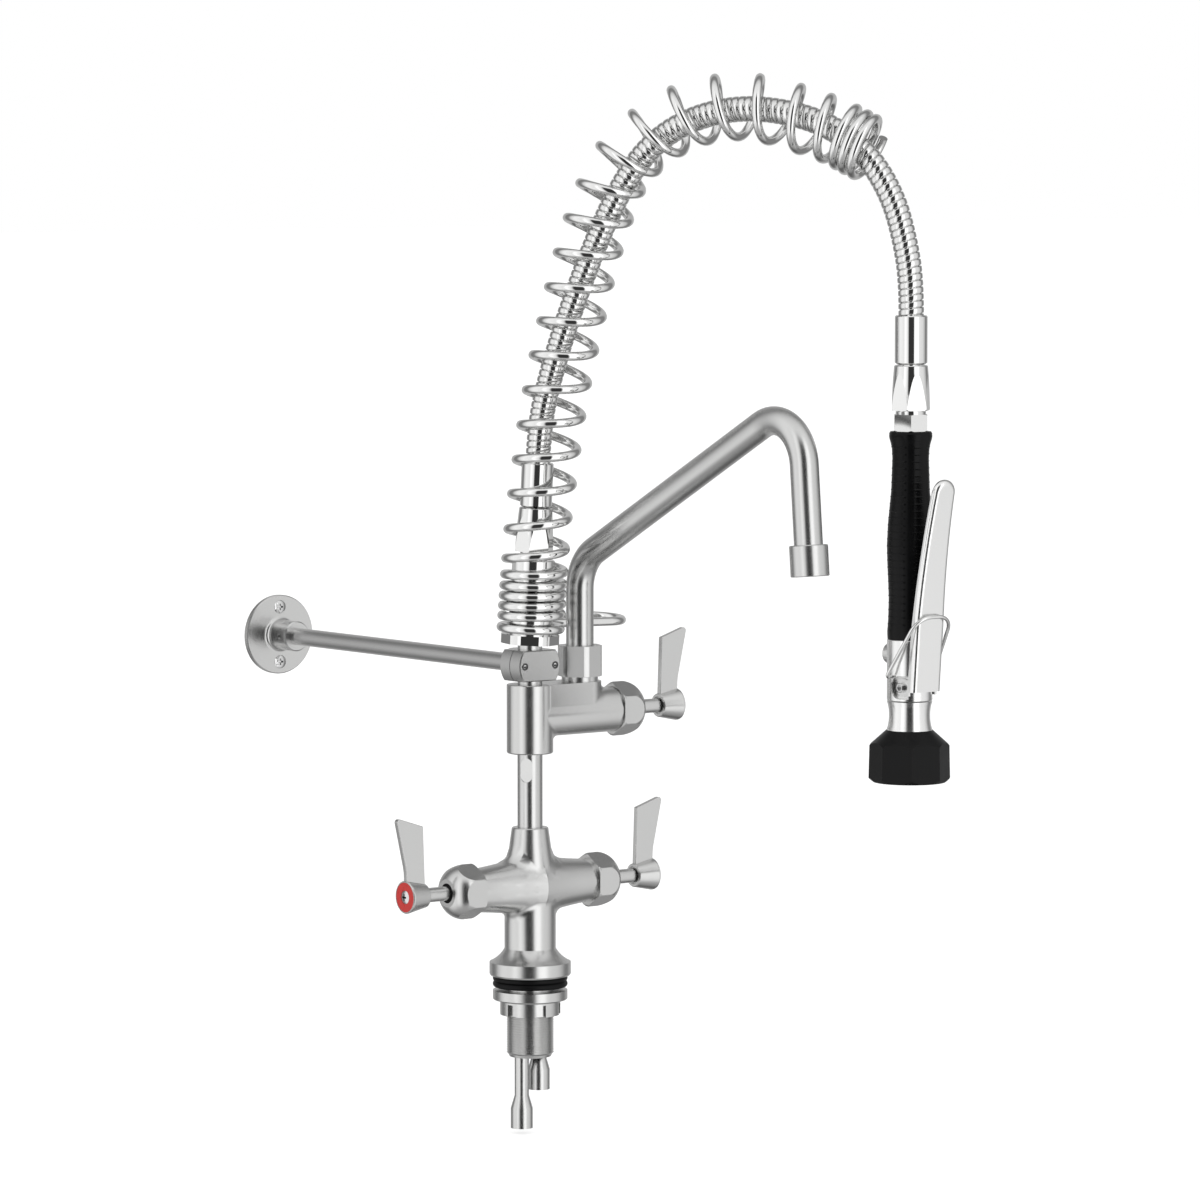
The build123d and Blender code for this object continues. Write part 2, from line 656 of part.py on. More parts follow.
def upper_ferrule():
    nipple = turned((4.5, 424), (6.0, 424), (6.0, 438), (4.5, 438))
    return gun_place() * (ferrule(UPPER_NUT_FOOT + 31.0, HOSE_ROUTE[-1][1]) + nipple)


# ---- arch spring ----
def spring_stations():
    """Distances along the spring's axis where the wire crosses the plane of the arch."""
    stations = [0.0]
    for turns, pitch in WINDING:
        for _ in range(2 * turns):
            stations.append(stations[-1] + pitch / 2)
    return stations


def spring_crossings():
    """Points of the wire on the outer and the inner side of the arch, by turns."""
    points = [arch_point(*point) for point in SPRING_AXIS]
    axis = Spline(*points, tangents=[points[1] - points[0], points[-1] - points[-2]])
    print("spring axis", round(axis.length, 1))
    crossings = []
    for index, station in enumerate(spring_stations()):
        share = min(station / axis.length, 1.0)
        outward = axis.tangent_at(share).cross(behind_arch())
        sign = 1 if index % 2 == 0 else -1
        crossings.append(axis.position_at(share) + outward * (sign * COIL_RADIUS))
    return crossings


def behind_arch():
    """The direction square to the plane of the arch, away from the user."""
    return arch_point(0, 0, 1) - arch_point(0, 0)


def half_turn(start, end, side, degrees=180.0):
    """An arc of wire from start towards end that bows to one side of the arch's plane."""
    centre = (start + end) / 2
    across = (start - end) / 2
    bow = behind_arch() * (side * across.length)

    def at(angle):
        turn = math.radians(angle)
        return centre + across * math.cos(turn) + bow * math.sin(turn)

    return ThreePointArc(start, at(degrees / 2), at(degrees))


def round_wire(edges):
    """A wire bent along tangent edges."""
    path = Wire(edges)
    section = Plane(origin=path.position_at(0), z_dir=path.tangent_at(0)) * Circle(WIRE_RADIUS)
    wire = sweep(section, path=path)
    print("wire length", round(path.length), "volume ratio",
          round(wire.volume / (math.pi * WIRE_RADIUS ** 2 * path.length), 4))
    return wire


def arch_spring():
    crossings = spring_crossings()
    edges = []
    last = len(crossings) - 2
    for index, (start, end) in enumerate(zip(crossings, crossings[1:])):
        side = -1 if index % 2 == 0 else 1
        edges.append(half_turn(start, end, side, LAST_ARC if index == last else 180.0))
    return round_wire(edges)


def spray_hook():
    """A loop round the spring seat, a straight run behind the spout and an open ring at its end."""
    height = SEAT_FLANGE + WIRE_RADIUS + 1.4

    def on_circle(centre, radius, degrees):
        angle = math.radians(degrees)
        return Vector(centre[0] + radius * math.cos(angle), centre[1] + radius * math.sin(angle), height)

    seat = (0, 0)
    join = on_circle(seat, COIL_RADIUS, 90)
    leave = Vector(HOOK_CENTRE[0], HOOK_CENTRE[1] - HOOK_RADIUS, height)
    return seat_place() * round_wire([
        ThreePointArc(on_circle(seat, COIL_RADIUS, 65), on_circle(seat, COIL_RADIUS, -90), join),
        Line(join, leave),
        ThreePointArc(leave, on_circle(HOOK_CENTRE, HOOK_RADIUS, 60), on_circle(HOOK_CENTRE, HOOK_RADIUS, 205)),
    ])


# ---- spray gun: shapes are made on the gun's own axis and then moved to it ----
def gun_place():
    gun = arch_point(GUN_REACH, 0)
    return Pos(gun.X, gun.Y, 0)


def upper_swivel_nut():
    return Pos(0, 0, UPPER_NUT_FOOT) * swivel_nut()


def adapter_nut():
    ring = turned((0, 403.6), (10.3, 403.6), (10.3, 405.6), (9.2, 405.6), (9.2, 414), (0, 414))
    nut = hexagon(22.2, GRIP_TOP + 0.2, 403.6, turn=50.7)
    spigot = turned((0, 380), (5.4, 380), (5.4, GRIP_TOP + 1), (0, GRIP_TOP + 1))
    return ring + nut + spigot - Pos(0, 0, 379) * cylinder_up(3.6, 40)


def grip():
    inner = CORE_RADIUS + 0.02
    return turned(
        (inner, BODY_TOP), (15.3, BODY_TOP), (15.5, 256), ((14.6, 278), (15.6, 302)),
        ((16.0, 315), (15.3, 330)), ((13.2, 352), (12.5, 374)), ((12.9, 381), (13.8, 385)),
        ((14.9, 388), (13.9, GRIP_TOP)), (inner, GRIP_TOP),
    )


def core_tube():
    return turned((5.5, BODY_TOP - 4.5), (CORE_RADIUS, BODY_TOP - 4.5), (CORE_RADIUS, GRIP_TOP),
                  (5.5, GRIP_TOP))


def spray_body():
    body = turned(
        (0, BODY_BOTTOM + 0.3), (BODY_RADIUS - 0.4, BODY_BOTTOM + 0.3), (BODY_RADIUS, BODY_BOTTOM + 0.7),
        (BODY_RADIUS, BODY_TOP - 0.4), (BODY_RADIUS - 0.4, BODY_TOP), (0, BODY_TOP),
    )
    pivot_y, pivot_z = TRIGGER_PIVOT
    for side in (-1, 1):
        ear = rod(8.0, (side * 10.6, pivot_y, pivot_z), (side * 20, pivot_y, pivot_z))
        slot = Pos(side * 15.3, pivot_y - 8, pivot_z) * Box(9.4, 16, 16)
        body -= ear + slot
        body -= rod(BAIL_WIRE + 0.08, (side * 10, 0, BAIL_HEIGHT), (side * 18, 0, BAIL_HEIGHT))
    body -= rod(2.02, (-20, pivot_y, pivot_z), (20, pivot_y, pivot_z))
    body -= Pos(0, 0, BODY_TOP - 4.6) * cylinder_up(CORE_RADIUS + 0.02, 12)
    body -= rod(3.05, (0, -20, PLUNGER_HEIGHT), (0, 0, PLUNGER_HEIGHT))
    body -= rod(6.2, (0, -1, PLUNGER_HEIGHT), (0, 20, PLUNGER_HEIGHT))
    body -= Pos(0, 4, 200) * cylinder_up(4.0, PLUNGER_HEIGHT - 200)
    return body


def spray_neck():
    return turned(
        (0, BUMPER_TOP - 14), (11.0, BUMPER_TOP - 14), (11.0, BUMPER_TOP), (15.6, BUMPER_TOP),
        ((14.0, 197.7), (14.6, 205.7)), (15.5, BODY_BOTTOM - 0.3), (0, BODY_BOTTOM - 0.3),
    ) - Pos(0, 4, BUMPER_TOP - 15) * cylinder_up(4.0, 40)


def bumper():
    radius = BUMPER_ACROSS / 2 / math.cos(math.pi / 8)
    prism = Pos(0, 0, BUMPER_BOTTOM) * extrude(Rot(0, 0, 8) * RegularPolygon(radius, 8),
                                               BUMPER_TOP - BUMPER_BOTTOM, taper=1.2)
    blank = turned(
        (0, BUMPER_BOTTOM), (radius - 3.0, BUMPER_BOTTOM), (radius, BUMPER_BOTTOM + 2.6),
        (radius, BUMPER_SHOULDER - 0.4), (radius - 1.6, BUMPER_SHOULDER + 1.6), (16.5, BUMPER_TOP - 0.6),
        (15.9, BUMPER_TOP), (0, BUMPER_TOP),
    )
    cup = prism & blank
    cup -= Pos(0, 0, BUMPER_BOTTOM - 1) * cylinder_up(19.0, 8)
    cup -= Pos(0, 0, BUMPER_BOTTOM) * cylinder_up(17.0, FACE_TOP + 0.2 - BUMPER_BOTTOM)
    cup -= Pos(0, 0, BUMPER_BOTTOM) * cylinder_up(11.05, 40)
    return cup


def spray_face():
    bottom = BUMPER_BOTTOM + 7
    disc = turned((0, bottom), (16.9, bottom), (16.9, FACE_TOP), (0, FACE_TOP))
    disc -= Pos(0, 4, bottom + 5) * cylinder_up(4.0, 12)
    hole = Pos(0, 0, bottom - 1) * cylinder_up(0.9, 8)
    for ring_radius, count in ((4.5, 6), (9.0, 12), (13.5, 18)):
        for index in range(count):
            disc -= Rot(0, 0, 360 * index / count) * Pos(ring_radius, 0, 0) * hole
    return disc


def valve_plunger():
    place = Plane(origin=(0, 0, PLUNGER_HEIGHT), x_dir=(1, 0, 0), z_dir=(0, 1, 0)).location
    return place * turned(
        (0, -18.2), (2.2, -18.2), (3.0, -17.2), (3.0, 1.0), (5.6, 1.0), (5.6, 2.6), (1.8, 2.6), (1.8, 12),
        (0, 12),
    )


def valve_spring():
    """The small return spring behind the plunger's head."""
    turns = 5
    place = Plane(origin=(0, 0, PLUNGER_HEIGHT), x_dir=(1, 0, 0), z_dir=(0, 1, 0)).location
    coil = Helix(pitch=2.1, height=2.1 * turns, radius=4.4)
    section = Plane(origin=coil.position_at(0), z_dir=coil.tangent_at(0)) * Circle(0.45)
    return place * Pos(0, 0, 6.0) * sweep(section, path=coil, is_frenet=True)


def valve_cap():
    place = Plane(origin=(0, 0, PLUNGER_HEIGHT), x_dir=(1, 0, 0), z_dir=(0, 1, 0)).location
    cap = turned(
        (0, 11.0), (6.15, 11.0), (6.15, 16.2), (7.2, 16.2), (7.2, 20.6), (6.2, 21.8), (4.2, 22.4), (0, 22.4),
    )
    cap -= Pos(0, 0, 10) * cylinder_up(5.2, 8)
    return place * cap


def trigger_front(y_shift=0.0):
    """The lever's front line in the gun's side view, as (y, z) points from its foot to its tip."""
    points = [(-18.7, TRIGGER_FOOT), (-20.6, 240.0), (-25.0, 285.0), (-32.5, 330.0), (-40.0, 362.0)]
    return [(y + y_shift, z) for y, z in points]


def trigger_blank(inset, rear_reach, crest):
    """A solid lever, its front and sides set in from the full size and its rear edge moved back."""
    half = TRIGGER_WIDTH / 2 - inset
    top_half = TRIGGER_TOP_WIDTH / 2 - inset
    front = trigger_front(inset)
    rear = [(y + rear_reach, z) for y, z in trigger_front()]
    side_face = make_face(Curve() + [
        Spline(*front),
        Line(front[-1], (rear[-1][0] + 5.0, rear[-1][1])),
        Spline((rear[-1][0] + 5.0, rear[-1][1]), (rear[2][0] + 5.4, rear[2][1]), (rear[0][0] + 6.2, rear[0][1])),
        Line((rear[0][0] + 6.2, rear[0][1]), front[0]),
    ])
    front_face = make_face(Curve() + [
        Line((-half, 190), (half, 190)),
        Line((half, 190), (half, 262)),
        Line((half, 262), (top_half, 352)),
        ThreePointArc((top_half, 352), (0, crest), (-top_half, 352)),
        Line((-top_half, 352), (-half, 262)),
        Line((-half, 262), (-half, 190)),
    ])
    side_view = Plane(origin=(-half, 0, 0), x_dir=(0, 1, 0), z_dir=(1, 0, 0))
    front_view = Plane(origin=(0, 0, 0), x_dir=(1, 0, 0), z_dir=(0, -1, 0))
    blank = extrude(side_view * side_face, 2 * half) & extrude(front_view * front_face, 60)
    face = blank.faces().sort_by(SortBy.AREA)[-2:].sort_by(Axis.Y)[0]
    edges = [edge for edge in face.edges() if edge.center().Z > TRIGGER_FOOT + 5]
    return fillet(edges, TRIGGER_ROUNDING - inset)


def trigger_lever():
    """The squeeze lever: a channel of sheet steel with a rounded front and a tapering, round tip."""
    half = TRIGGER_WIDTH / 2
    shell = trigger_blank(0.0, 0.0, 361.0) - trigger_blank(TRIGGER_SHEET, 3.0, 359.4)
    pivot_y, pivot_z = TRIGGER_PIVOT
    for side in (-1, 1):
        inner = side * (half - TRIGGER_SHEET)
        outer = side * half
        ear = rod(6.2, (inner, pivot_y, pivot_z), (outer, pivot_y, pivot_z))
        arm = Pos((inner + outer) / 2, (pivot_y - 13.5) / 2, pivot_z) * Box(
            TRIGGER_SHEET, abs(pivot_y + 13.5), 11.0)
        shell += ear + arm
        shell -= rod(2.06, (inner - side, pivot_y, pivot_z), (outer + side, pivot_y, pivot_z))
    return shell


def pivot_screw():
    pivot_y, pivot_z = TRIGGER_PIVOT
    place = Plane(origin=(0, pivot_y, pivot_z), x_dir=(0, 1, 0), z_dir=(-1, 0, 0)).location
    screw = turned((0, -14.2), (3.2, -14.2), (3.2, -12.6), (2.0, -12.6), (2.0, 12.6), (3.4, 12.6),
                   (3.4, 14.4), (3.0, 14.8), (0, 14.8))
    screw -= Pos(0, 0, 13.0) * extrude(RegularPolygon(2.25, 6), 3)
    return place * screw


def bail_ring():
    lift = math.radians(BAIL_LIFT)
    reach = 49.1

    def bail_point(across, ahead):
        return (across, -ahead * math.cos(lift), BAIL_HEIGHT + ahead * math.sin(lift))

    points = [
        bail_point(-12.0, 0), bail_point(-21.0, 0), bail_point(-15.2, reach), bail_point(15.2, reach),
        bail_point(21.0, 0), bail_point(12.0, 0),
    ]
    path = FilletPolyline(*points, radius=[2.6, 13.5, 13.5, 2.6])
    section = Plane(origin=points[0], z_dir=(-1, 0, 0)) * Circle(BAIL_WIRE)
    return sweep(section, path=path)


def main():
    os.makedirs("parts", exist_ok=True)
    save("mixing_body", mixing_body())
    save("threaded_shank", threaded_shank())
    save("deck_seal", deck_seal())
    save("clamp_washer", clamp_washer())
    save("back_nut", back_nut())
    save("hot_tail", tail(-1, HOT_TAIL_BOTTOM))
    save("cold_tail", tail(1, COLD_TAIL_BOTTOM))
    valves = {
        "hot": valve_place(-1, MIXER_SEAT, MIXER_HEIGHT),
        "cold": valve_place(1, MIXER_SEAT, MIXER_HEIGHT),
        "spout": valve_place(1, FILLER_SEAT, FILLER_AXIS),
    }
    pieces = {
        "bonnet_nut": bonnet_nut(),
        "cartridge": cartridge(),
        "spindle": spindle(),
        "lever": lever(),
        "index_disc": index_disc(),
        "lever_screw": lever_screw(),
    }
    for valve, place in valves.items():
        for piece, shape in pieces.items():
            save(valve + "_" + piece, place * shape)
    save("riser_tube", riser_tube())
    save("pot_filler_body", pot_filler_body())
    save("spout_gland_nut", spout_gland_nut())
    save("spout_tube", spout_tube())
    save("aerator_housing", aerator_housing())
    save("aerator_insert", aerator_insert())
    save("upper_stem", upper_stem())
    save("clamp_front", clamp_front())
    save("clamp_rear", clamp_rear())
    save("clamp_screws", clamp_screws())
    save("wall_arm", wall_arm())
    save("wall_flange", wall_flange())
    save("flange_set_screw", flange_set_screw())
    save("wall_screws", wall_screws())
    save("spring_seat", spring_seat())
    save("arch_spring", arch_spring())
    save("spray_hook", spray_hook())
    save("lower_swivel_nut", lower_swivel_nut())
    save("lower_ferrule", lower_ferrule())
    save("hose", hose())
    save("upper_ferrule", upper_ferrule())
    gun_pieces = {
        "upper_swivel_nut": upper_swivel_nut(),
        "adapter_nut": adapter_nut(),
        "grip": grip(),
        "core_tube": core_tube(),
        "spray_body": spray_body(),
        "spray_neck": spray_neck(),
        "bumper": bumper(),
        "spray_face": spray_face(),
        "valve_plunger": valve_plunger(),
        "valve_spring": valve_spring(),
        "valve_cap": valve_cap(),
        "trigger_lever": trigger_lever(),
        "trigger_pivot_screw": pivot_screw(),
        "bail_ring": bail_ring(),
    }
    for piece, shape in gun_pieces.items():
        save(piece, gun_place() * shape)


main()
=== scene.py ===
import json
import math

import bpy
from mathutils import Matrix, Vector

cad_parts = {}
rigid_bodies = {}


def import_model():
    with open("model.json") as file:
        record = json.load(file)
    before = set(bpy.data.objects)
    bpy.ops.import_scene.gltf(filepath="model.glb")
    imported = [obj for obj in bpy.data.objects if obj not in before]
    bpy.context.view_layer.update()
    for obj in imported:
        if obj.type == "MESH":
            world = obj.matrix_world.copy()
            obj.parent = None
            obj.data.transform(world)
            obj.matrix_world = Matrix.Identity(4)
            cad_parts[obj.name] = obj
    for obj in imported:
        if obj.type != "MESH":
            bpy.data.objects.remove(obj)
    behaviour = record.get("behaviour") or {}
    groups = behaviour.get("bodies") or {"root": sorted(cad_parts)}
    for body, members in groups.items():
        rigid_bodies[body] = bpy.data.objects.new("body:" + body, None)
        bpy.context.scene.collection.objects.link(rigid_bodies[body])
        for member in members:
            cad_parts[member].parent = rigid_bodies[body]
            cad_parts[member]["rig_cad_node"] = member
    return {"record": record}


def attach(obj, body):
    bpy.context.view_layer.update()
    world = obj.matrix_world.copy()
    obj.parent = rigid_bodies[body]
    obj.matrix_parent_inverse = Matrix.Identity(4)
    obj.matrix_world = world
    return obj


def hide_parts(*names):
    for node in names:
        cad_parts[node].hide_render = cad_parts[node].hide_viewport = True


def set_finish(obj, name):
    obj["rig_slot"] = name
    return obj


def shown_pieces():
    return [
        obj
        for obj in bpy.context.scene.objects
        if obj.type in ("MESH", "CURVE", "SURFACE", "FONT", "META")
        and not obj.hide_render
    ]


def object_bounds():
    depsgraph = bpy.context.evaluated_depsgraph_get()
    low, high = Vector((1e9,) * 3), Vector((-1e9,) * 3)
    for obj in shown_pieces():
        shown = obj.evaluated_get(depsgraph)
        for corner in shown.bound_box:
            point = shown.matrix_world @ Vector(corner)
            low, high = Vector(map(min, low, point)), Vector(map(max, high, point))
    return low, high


# A pre-rinse faucet. Metres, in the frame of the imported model: +Z up along the column, -Y towards the
# user, +Y towards the wall.

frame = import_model()
cad_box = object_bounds()

# ---- sizes shared with the design ----
ARCH_AZIMUTH = math.radians(-57.0)
GUN_REACH = 0.275
HOSE_RADIUS = 0.00875
HOSE_PITCH = 0.0045
HOSE_LOBE_DEPTH = 0.00045
HOSE_SEAM_DEPTH = 0.00110
WIRE_RADIUS = 0.0031
COIL_RADIUS = 0.0206
# Each valve: the side it points to, how far out its seat is, and its height.
VALVES = {
    "hot": (-1, 0.048, 0.0707),
    "cold": (1, 0.048, 0.0707),
    "spout": (1, 0.070, 0.190),
}
NUT_LENGTH = 0.0235
SCREW_FACE = 0.0596
CROSS_DEPTH = 0.0013
CROSS_REACH = 0.00228
CROSS_HALF_WIDTH = 0.00063
CLAMP_SCREW = (0.013, -0.01195, 0.225)
GRIP_RIB_PITCH = 0.0048
GRIP_RIB_HEIGHT = 0.00042
GRIP_BAND_DEPTH = 0.00010
BUMP_DISTANCE = 0.0001

# The hose's route in the plane of the arch: (reach from the column's axis, height).
HOSE_ROUTE = [
    (0.0060, 0.3656),
    (0.0072, 0.3910),
    (0.0142, 0.4220),
    (0.0255, 0.4580),
    (0.0385, 0.4930),
    (0.0530, 0.5280),
    (0.0690, 0.5595),
    (0.0880, 0.5845),
    (0.1150, 0.6020),
    (0.1500, 0.6105),
    (0.1860, 0.6080),
    (0.2190, 0.5975),
    (0.2450, 0.5775),
    (0.2620, 0.5500),
    (0.2705, 0.5205),
    (0.2748, 0.4940),
    (0.2750, 0.4704),
]

# The spring's own axis in the same plane.
SPRING_AXIS = [
    (0.0010, 0.2579),
    (0.0030, 0.2860),
    (0.0080, 0.3400),
    (0.0250, 0.4410),
    (0.0615, 0.5605),
    (0.1020, 0.5990),
    (0.1540, 0.6110),
    (0.2120, 0.5975),
    (0.2466, 0.5815),
]

# The spring's winding from its foot: (turns, pitch). It ends in a part of a turn.
WINDING = [
    (4, 0.0070),
    (1, 0.0100),
    (1, 0.0206),
    (11, 0.0240),
    (5, 0.0272),
    (1, 0.0221),
    (1, 0.0170),
    (2.83, 0.0070),
]

# The CAD nodes whose edges are softened in the picture.
SOFT_EDGED = (
    "adapter_nut", "upper_swivel_nut", "lower_swivel_nut", "spout_gland_nut", "spring_seat", "bumper",
    "hot_bonnet_nut", "cold_bonnet_nut", "spout_bonnet_nut",
)

# The grip's outline: (height, radius).
GRIP_OUTLINE = [
    (0.2510, 0.0152),
    (0.2560, 0.0155),
    (0.2650, 0.0149),
    (0.2780, 0.0146),
    (0.2900, 0.0150),
    (0.3020, 0.0156),
    (0.3150, 0.0160),
    (0.3300, 0.0153),
    (0.3520, 0.0132),
    (0.3740, 0.0125),
    (0.3810, 0.0129),
    (0.3850, 0.0138),
    (0.3880, 0.0147),
    (0.3905, 0.0147),
    (0.3920, 0.0139),
]
GRIP_BOTTOM = GRIP_OUTLINE[0][0]
GRIP_TOP = GRIP_OUTLINE[-1][0]


def arch_point(reach, height, behind=0.0):
    """A point given by its reach and height in the plane of the arch, and its distance behind it."""
    x = reach * math.cos(ARCH_AZIMUTH) - behind * math.sin(ARCH_AZIMUTH)
    y = reach * math.sin(ARCH_AZIMUTH) + behind * math.cos(ARCH_AZIMUTH)
    return Vector((x, y, height))


BEHIND_ARCH = arch_point(0, 0, 1)
GUN_AXIS = arch_point(GUN_REACH, 0)


# ---- camera ----
def make_camera():
    """A long lens, a little below the top of the arch and tipped down."""
    data = bpy.data.cameras.new("camera")
    data.sensor_width = 36.0
    data.lens = 176.17
    data.clip_end = 100.0
    camera = bpy.data.objects.new("camera", data)
    camera.location = (-2.4224, -3.2602, 0.5972)
    camera.rotation_euler = (math.radians(90 - 4.605), 0, math.radians(-37.30))
    bpy.context.scene.collection.objects.link(camera)
    bpy.context.scene.camera = camera


# ---- mesh helpers ----
def make_piece(name, verts, faces, smooth_angle=40.0):
    """A mesh object with smooth shading, whose edges sharper than the angle stay sharp."""
    mesh = bpy.data.meshes.new(name)
    mesh.from_pydata([tuple(v) for v in verts], [], faces)
    mesh.shade_smooth()
    mesh.set_sharp_from_angle(angle=math.radians(smooth_angle))
    piece = bpy.data.objects.new(name, mesh)
    bpy.context.scene.collection.objects.link(piece)
    return piece


def frames_along(points):
    """A tangent and two square directions at each point, turning as little as they can."""
    tangents = []
    last = len(points) - 1
    for index in range(len(points)):
        ahead = points[min(index + 1, last)]
        back = points[max(index - 1, 0)]
        tangents.append((ahead - back).normalized())
    side = tangents[0].orthogonal().normalized()
    frames = []
    for tangent in tangents:
        side = (side - tangent * side.dot(tangent)).normalized()
        frames.append((tangent, side, tangent.cross(side)))
    return frames


def tube(name, points, radius, segments):
    """A closed round tube along points. The radius is a number, or a function of (index, angle)."""
    verts = []
    faces = []
    for index, (point, (_, side, up)) in enumerate(zip(points, frames_along(points))):
        for step in range(segments):
            angle = math.tau * step / segments
            reach = radius(index, angle) if callable(radius) else radius
            verts.append(point + (side * math.cos(angle) + up * math.sin(angle)) * reach)
    for index in range(len(points) - 1):
        low = index * segments
        for step in range(segments):
            after = (step + 1) % segments
            faces.append((low + step, low + after, low + segments + after, low + segments + step))
    faces.append(tuple(reversed(range(segments))))
    faces.append(tuple(range(len(verts) - segments, len(verts))))
    return make_piece(name, verts, faces)


def resampled(points, step):
    """The same line with evenly spaced points."""
    reach = [0.0]
    for before, after in zip(points, points[1:]):
        reach.append(reach[-1] + (after - before).length)
    count = max(2, round(reach[-1] / step))
    result = []
    index = 0
    for number in range(count + 1):
        goal = reach[-1] * number / count
        while index < len(points) - 2 and reach[index + 1] < goal:
            index += 1
        share = (goal - reach[index]) / (reach[index + 1] - reach[index])
        result.append(points[index].lerp(points[index + 1], share))
    return result


def nurbs_points(name, controls, resolution=64):
    """Points of one open NURBS spline that has these control points."""
    curve = bpy.data.curves.new(name, "CURVE")
    curve.dimensions = "3D"
    curve.resolution_u = resolution
    spline = curve.splines.new("NURBS")
    spline.points.add(len(controls) - 1)
    for point, control in zip(spline.points, controls):
        point.co = (*control, 1.0)
    spline.order_u = 3
    spline.use_endpoint_u = True
    carrier = bpy.data.objects.new(name, curve)
    bpy.context.scene.collection.objects.link(carrier)
    bpy.context.view_layer.update()
    mesh = bpy.data.meshes.new_from_object(carrier)
    points = [vertex.co.copy() for vertex in mesh.vertices]
    bpy.data.objects.remove(carrier)
    bpy.data.meshes.remove(mesh)
    return points


# ---- hose ----
def hose_groove(place):
    """How far the surface lies below the crest at a share of one turn of the hose's wound strip."""
    across = abs(2 * place - 1)
    lobe = HOSE_LOBE_DEPTH * across ** 3
    seam_start = 0.82
    seam_ramp = 0.08
    seam = HOSE_SEAM_DEPTH * min(max((across - seam_start) / seam_ramp, 0.0), 1.0)
    return lobe + seam


def make_hose():
    """The interlocked steel hose: a strip wound in a fine screw, with a groove between its turns."""
    route = nurbs_points("hose_route", [arch_point(*point) for point in HOSE_ROUTE])
    rings_per_turn = 12
    points = resampled(route, HOSE_PITCH / rings_per_turn)
    spacing = (points[1] - points[0]).length

    def radius(index, angle):
        return HOSE_RADIUS - hose_groove((index * spacing / HOSE_PITCH - angle / math.tau) % 1.0)

    hose = tube("ribbed_hose", points, radius, segments=40)
    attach(hose, "root")
    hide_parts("hose")
    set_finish(hose, "hose_steel")


# ---- spring and hook ----
def smooth_line(controls, per_span=60):
    """A smooth line through every control point."""
    ends = [controls[0] * 2 - controls[1], *controls, controls[-1] * 2 - controls[-2]]
    points = []
    for a, b, c, d in zip(ends, ends[1:], ends[2:], ends[3:]):
        arrive = (c - a) / ((b - a).length + (c - b).length)
        leave = (d - b) / ((c - b).length + (d - c).length)
        span = (c - b).length
        for step in range(per_span):
            t = step / per_span
            rise = t * t * (3 - 2 * t)
            first = t * (1 - t) ** 2 * span
            last = t * t * (t - 1) * span
            points.append(b * (1 - rise) + c * rise + arrive * first + leave * last)
    points.append(controls[-1].copy())
    return points


def reach_of_turn(turn):
    """How far along its axis the spring's wire has gone after a number of turns."""
    reach = 0.0
    for turns, pitch in WINDING[:-1]:
        if turn <= turns:
            return reach + turn * pitch
        reach += turns * pitch
        turn -= turns
    return reach + turn * WINDING[-1][1]


def eased_reach(turn):
    """The same, with each change of pitch spread over most of a turn."""
    spread = 0.42
    samples = 9
    total = 0.0
    for number in range(samples):
        total += reach_of_turn(turn + spread * (2 * number / (samples - 1) - 1))
    return total / samples


def make_spring():
    """The arch's open coil spring, wound close at both ends and cut square at the upper one."""
    axis_step = 0.0002
    axis = resampled(smooth_line([arch_point(*point) for point in SPRING_AXIS]), axis_step)
    spacing = (axis[1] - axis[0]).length
    steps = 44
    wire = []
    for number in range(int(sum(turns for turns, _ in WINDING) * steps) + 1):
        turn = number / steps
        place = max(eased_reach(turn) - eased_reach(0.0), 0.0) / spacing
        index = min(int(place), len(axis) - 2)
        centre = axis[index].lerp(axis[index + 1], place - index)
        outward = (axis[index + 1] - axis[index]).normalized().cross(BEHIND_ARCH)
        angle = math.tau * turn
        wire.append(centre + (outward * math.cos(angle) - BEHIND_ARCH * math.sin(angle)) * COIL_RADIUS)
    spring = tube("spring_wire", wire, WIRE_RADIUS, segments=20)
    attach(spring, "root")
    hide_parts("arch_spring")
    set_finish(spring, "spring_steel")


# ---- grip ----
def grip_outline_at(height):
    """The grip's radius, with the corners of its outline rounded off."""
    for (low, first), (high, last) in zip(GRIP_OUTLINE, GRIP_OUTLINE[1:]):
        if height <= high:
            share = (height - low) / (high - low)
            return first + (last - first) * share
    return GRIP_OUTLINE[-1][1]


def smooth_step(low, high, value):
    """0 below the low end, 1 above the high end, and a smooth rise between them."""
    share = min(max((value - low) / (high - low), 0.0), 1.0)
    return share * share * (3 - 2 * share)


def grip_surface(height, angle):
    """The grip's radius with its fine ribs, which die out at four smooth bands and at both ends."""
    spread = 0.0016
    rib_half_width = 0.15
    band_edges = (math.radians(9), math.radians(14))
    end_fade = (0.004, 0.010)
    base = sum(grip_outline_at(height + spread * shift) for shift in (-1, -0.5, 0, 0.5, 1)) / 5
    nearness = min(height - GRIP_BOTTOM, GRIP_TOP - height)
    if nearness < spread:
        base = grip_outline_at(height)
    place = (height / GRIP_RIB_PITCH) % 1.0
    rib = max(0.0, 1 - abs(place - 0.5) / rib_half_width)
    from_band = abs(math.remainder(angle - math.radians(45), math.pi / 2))
    band = smooth_step(*band_edges, from_band)
    ends = smooth_step(*end_fade, nearness)
    return base + GRIP_RIB_HEIGHT * rib * band * ends - GRIP_BAND_DEPTH * (1 - band) * ends


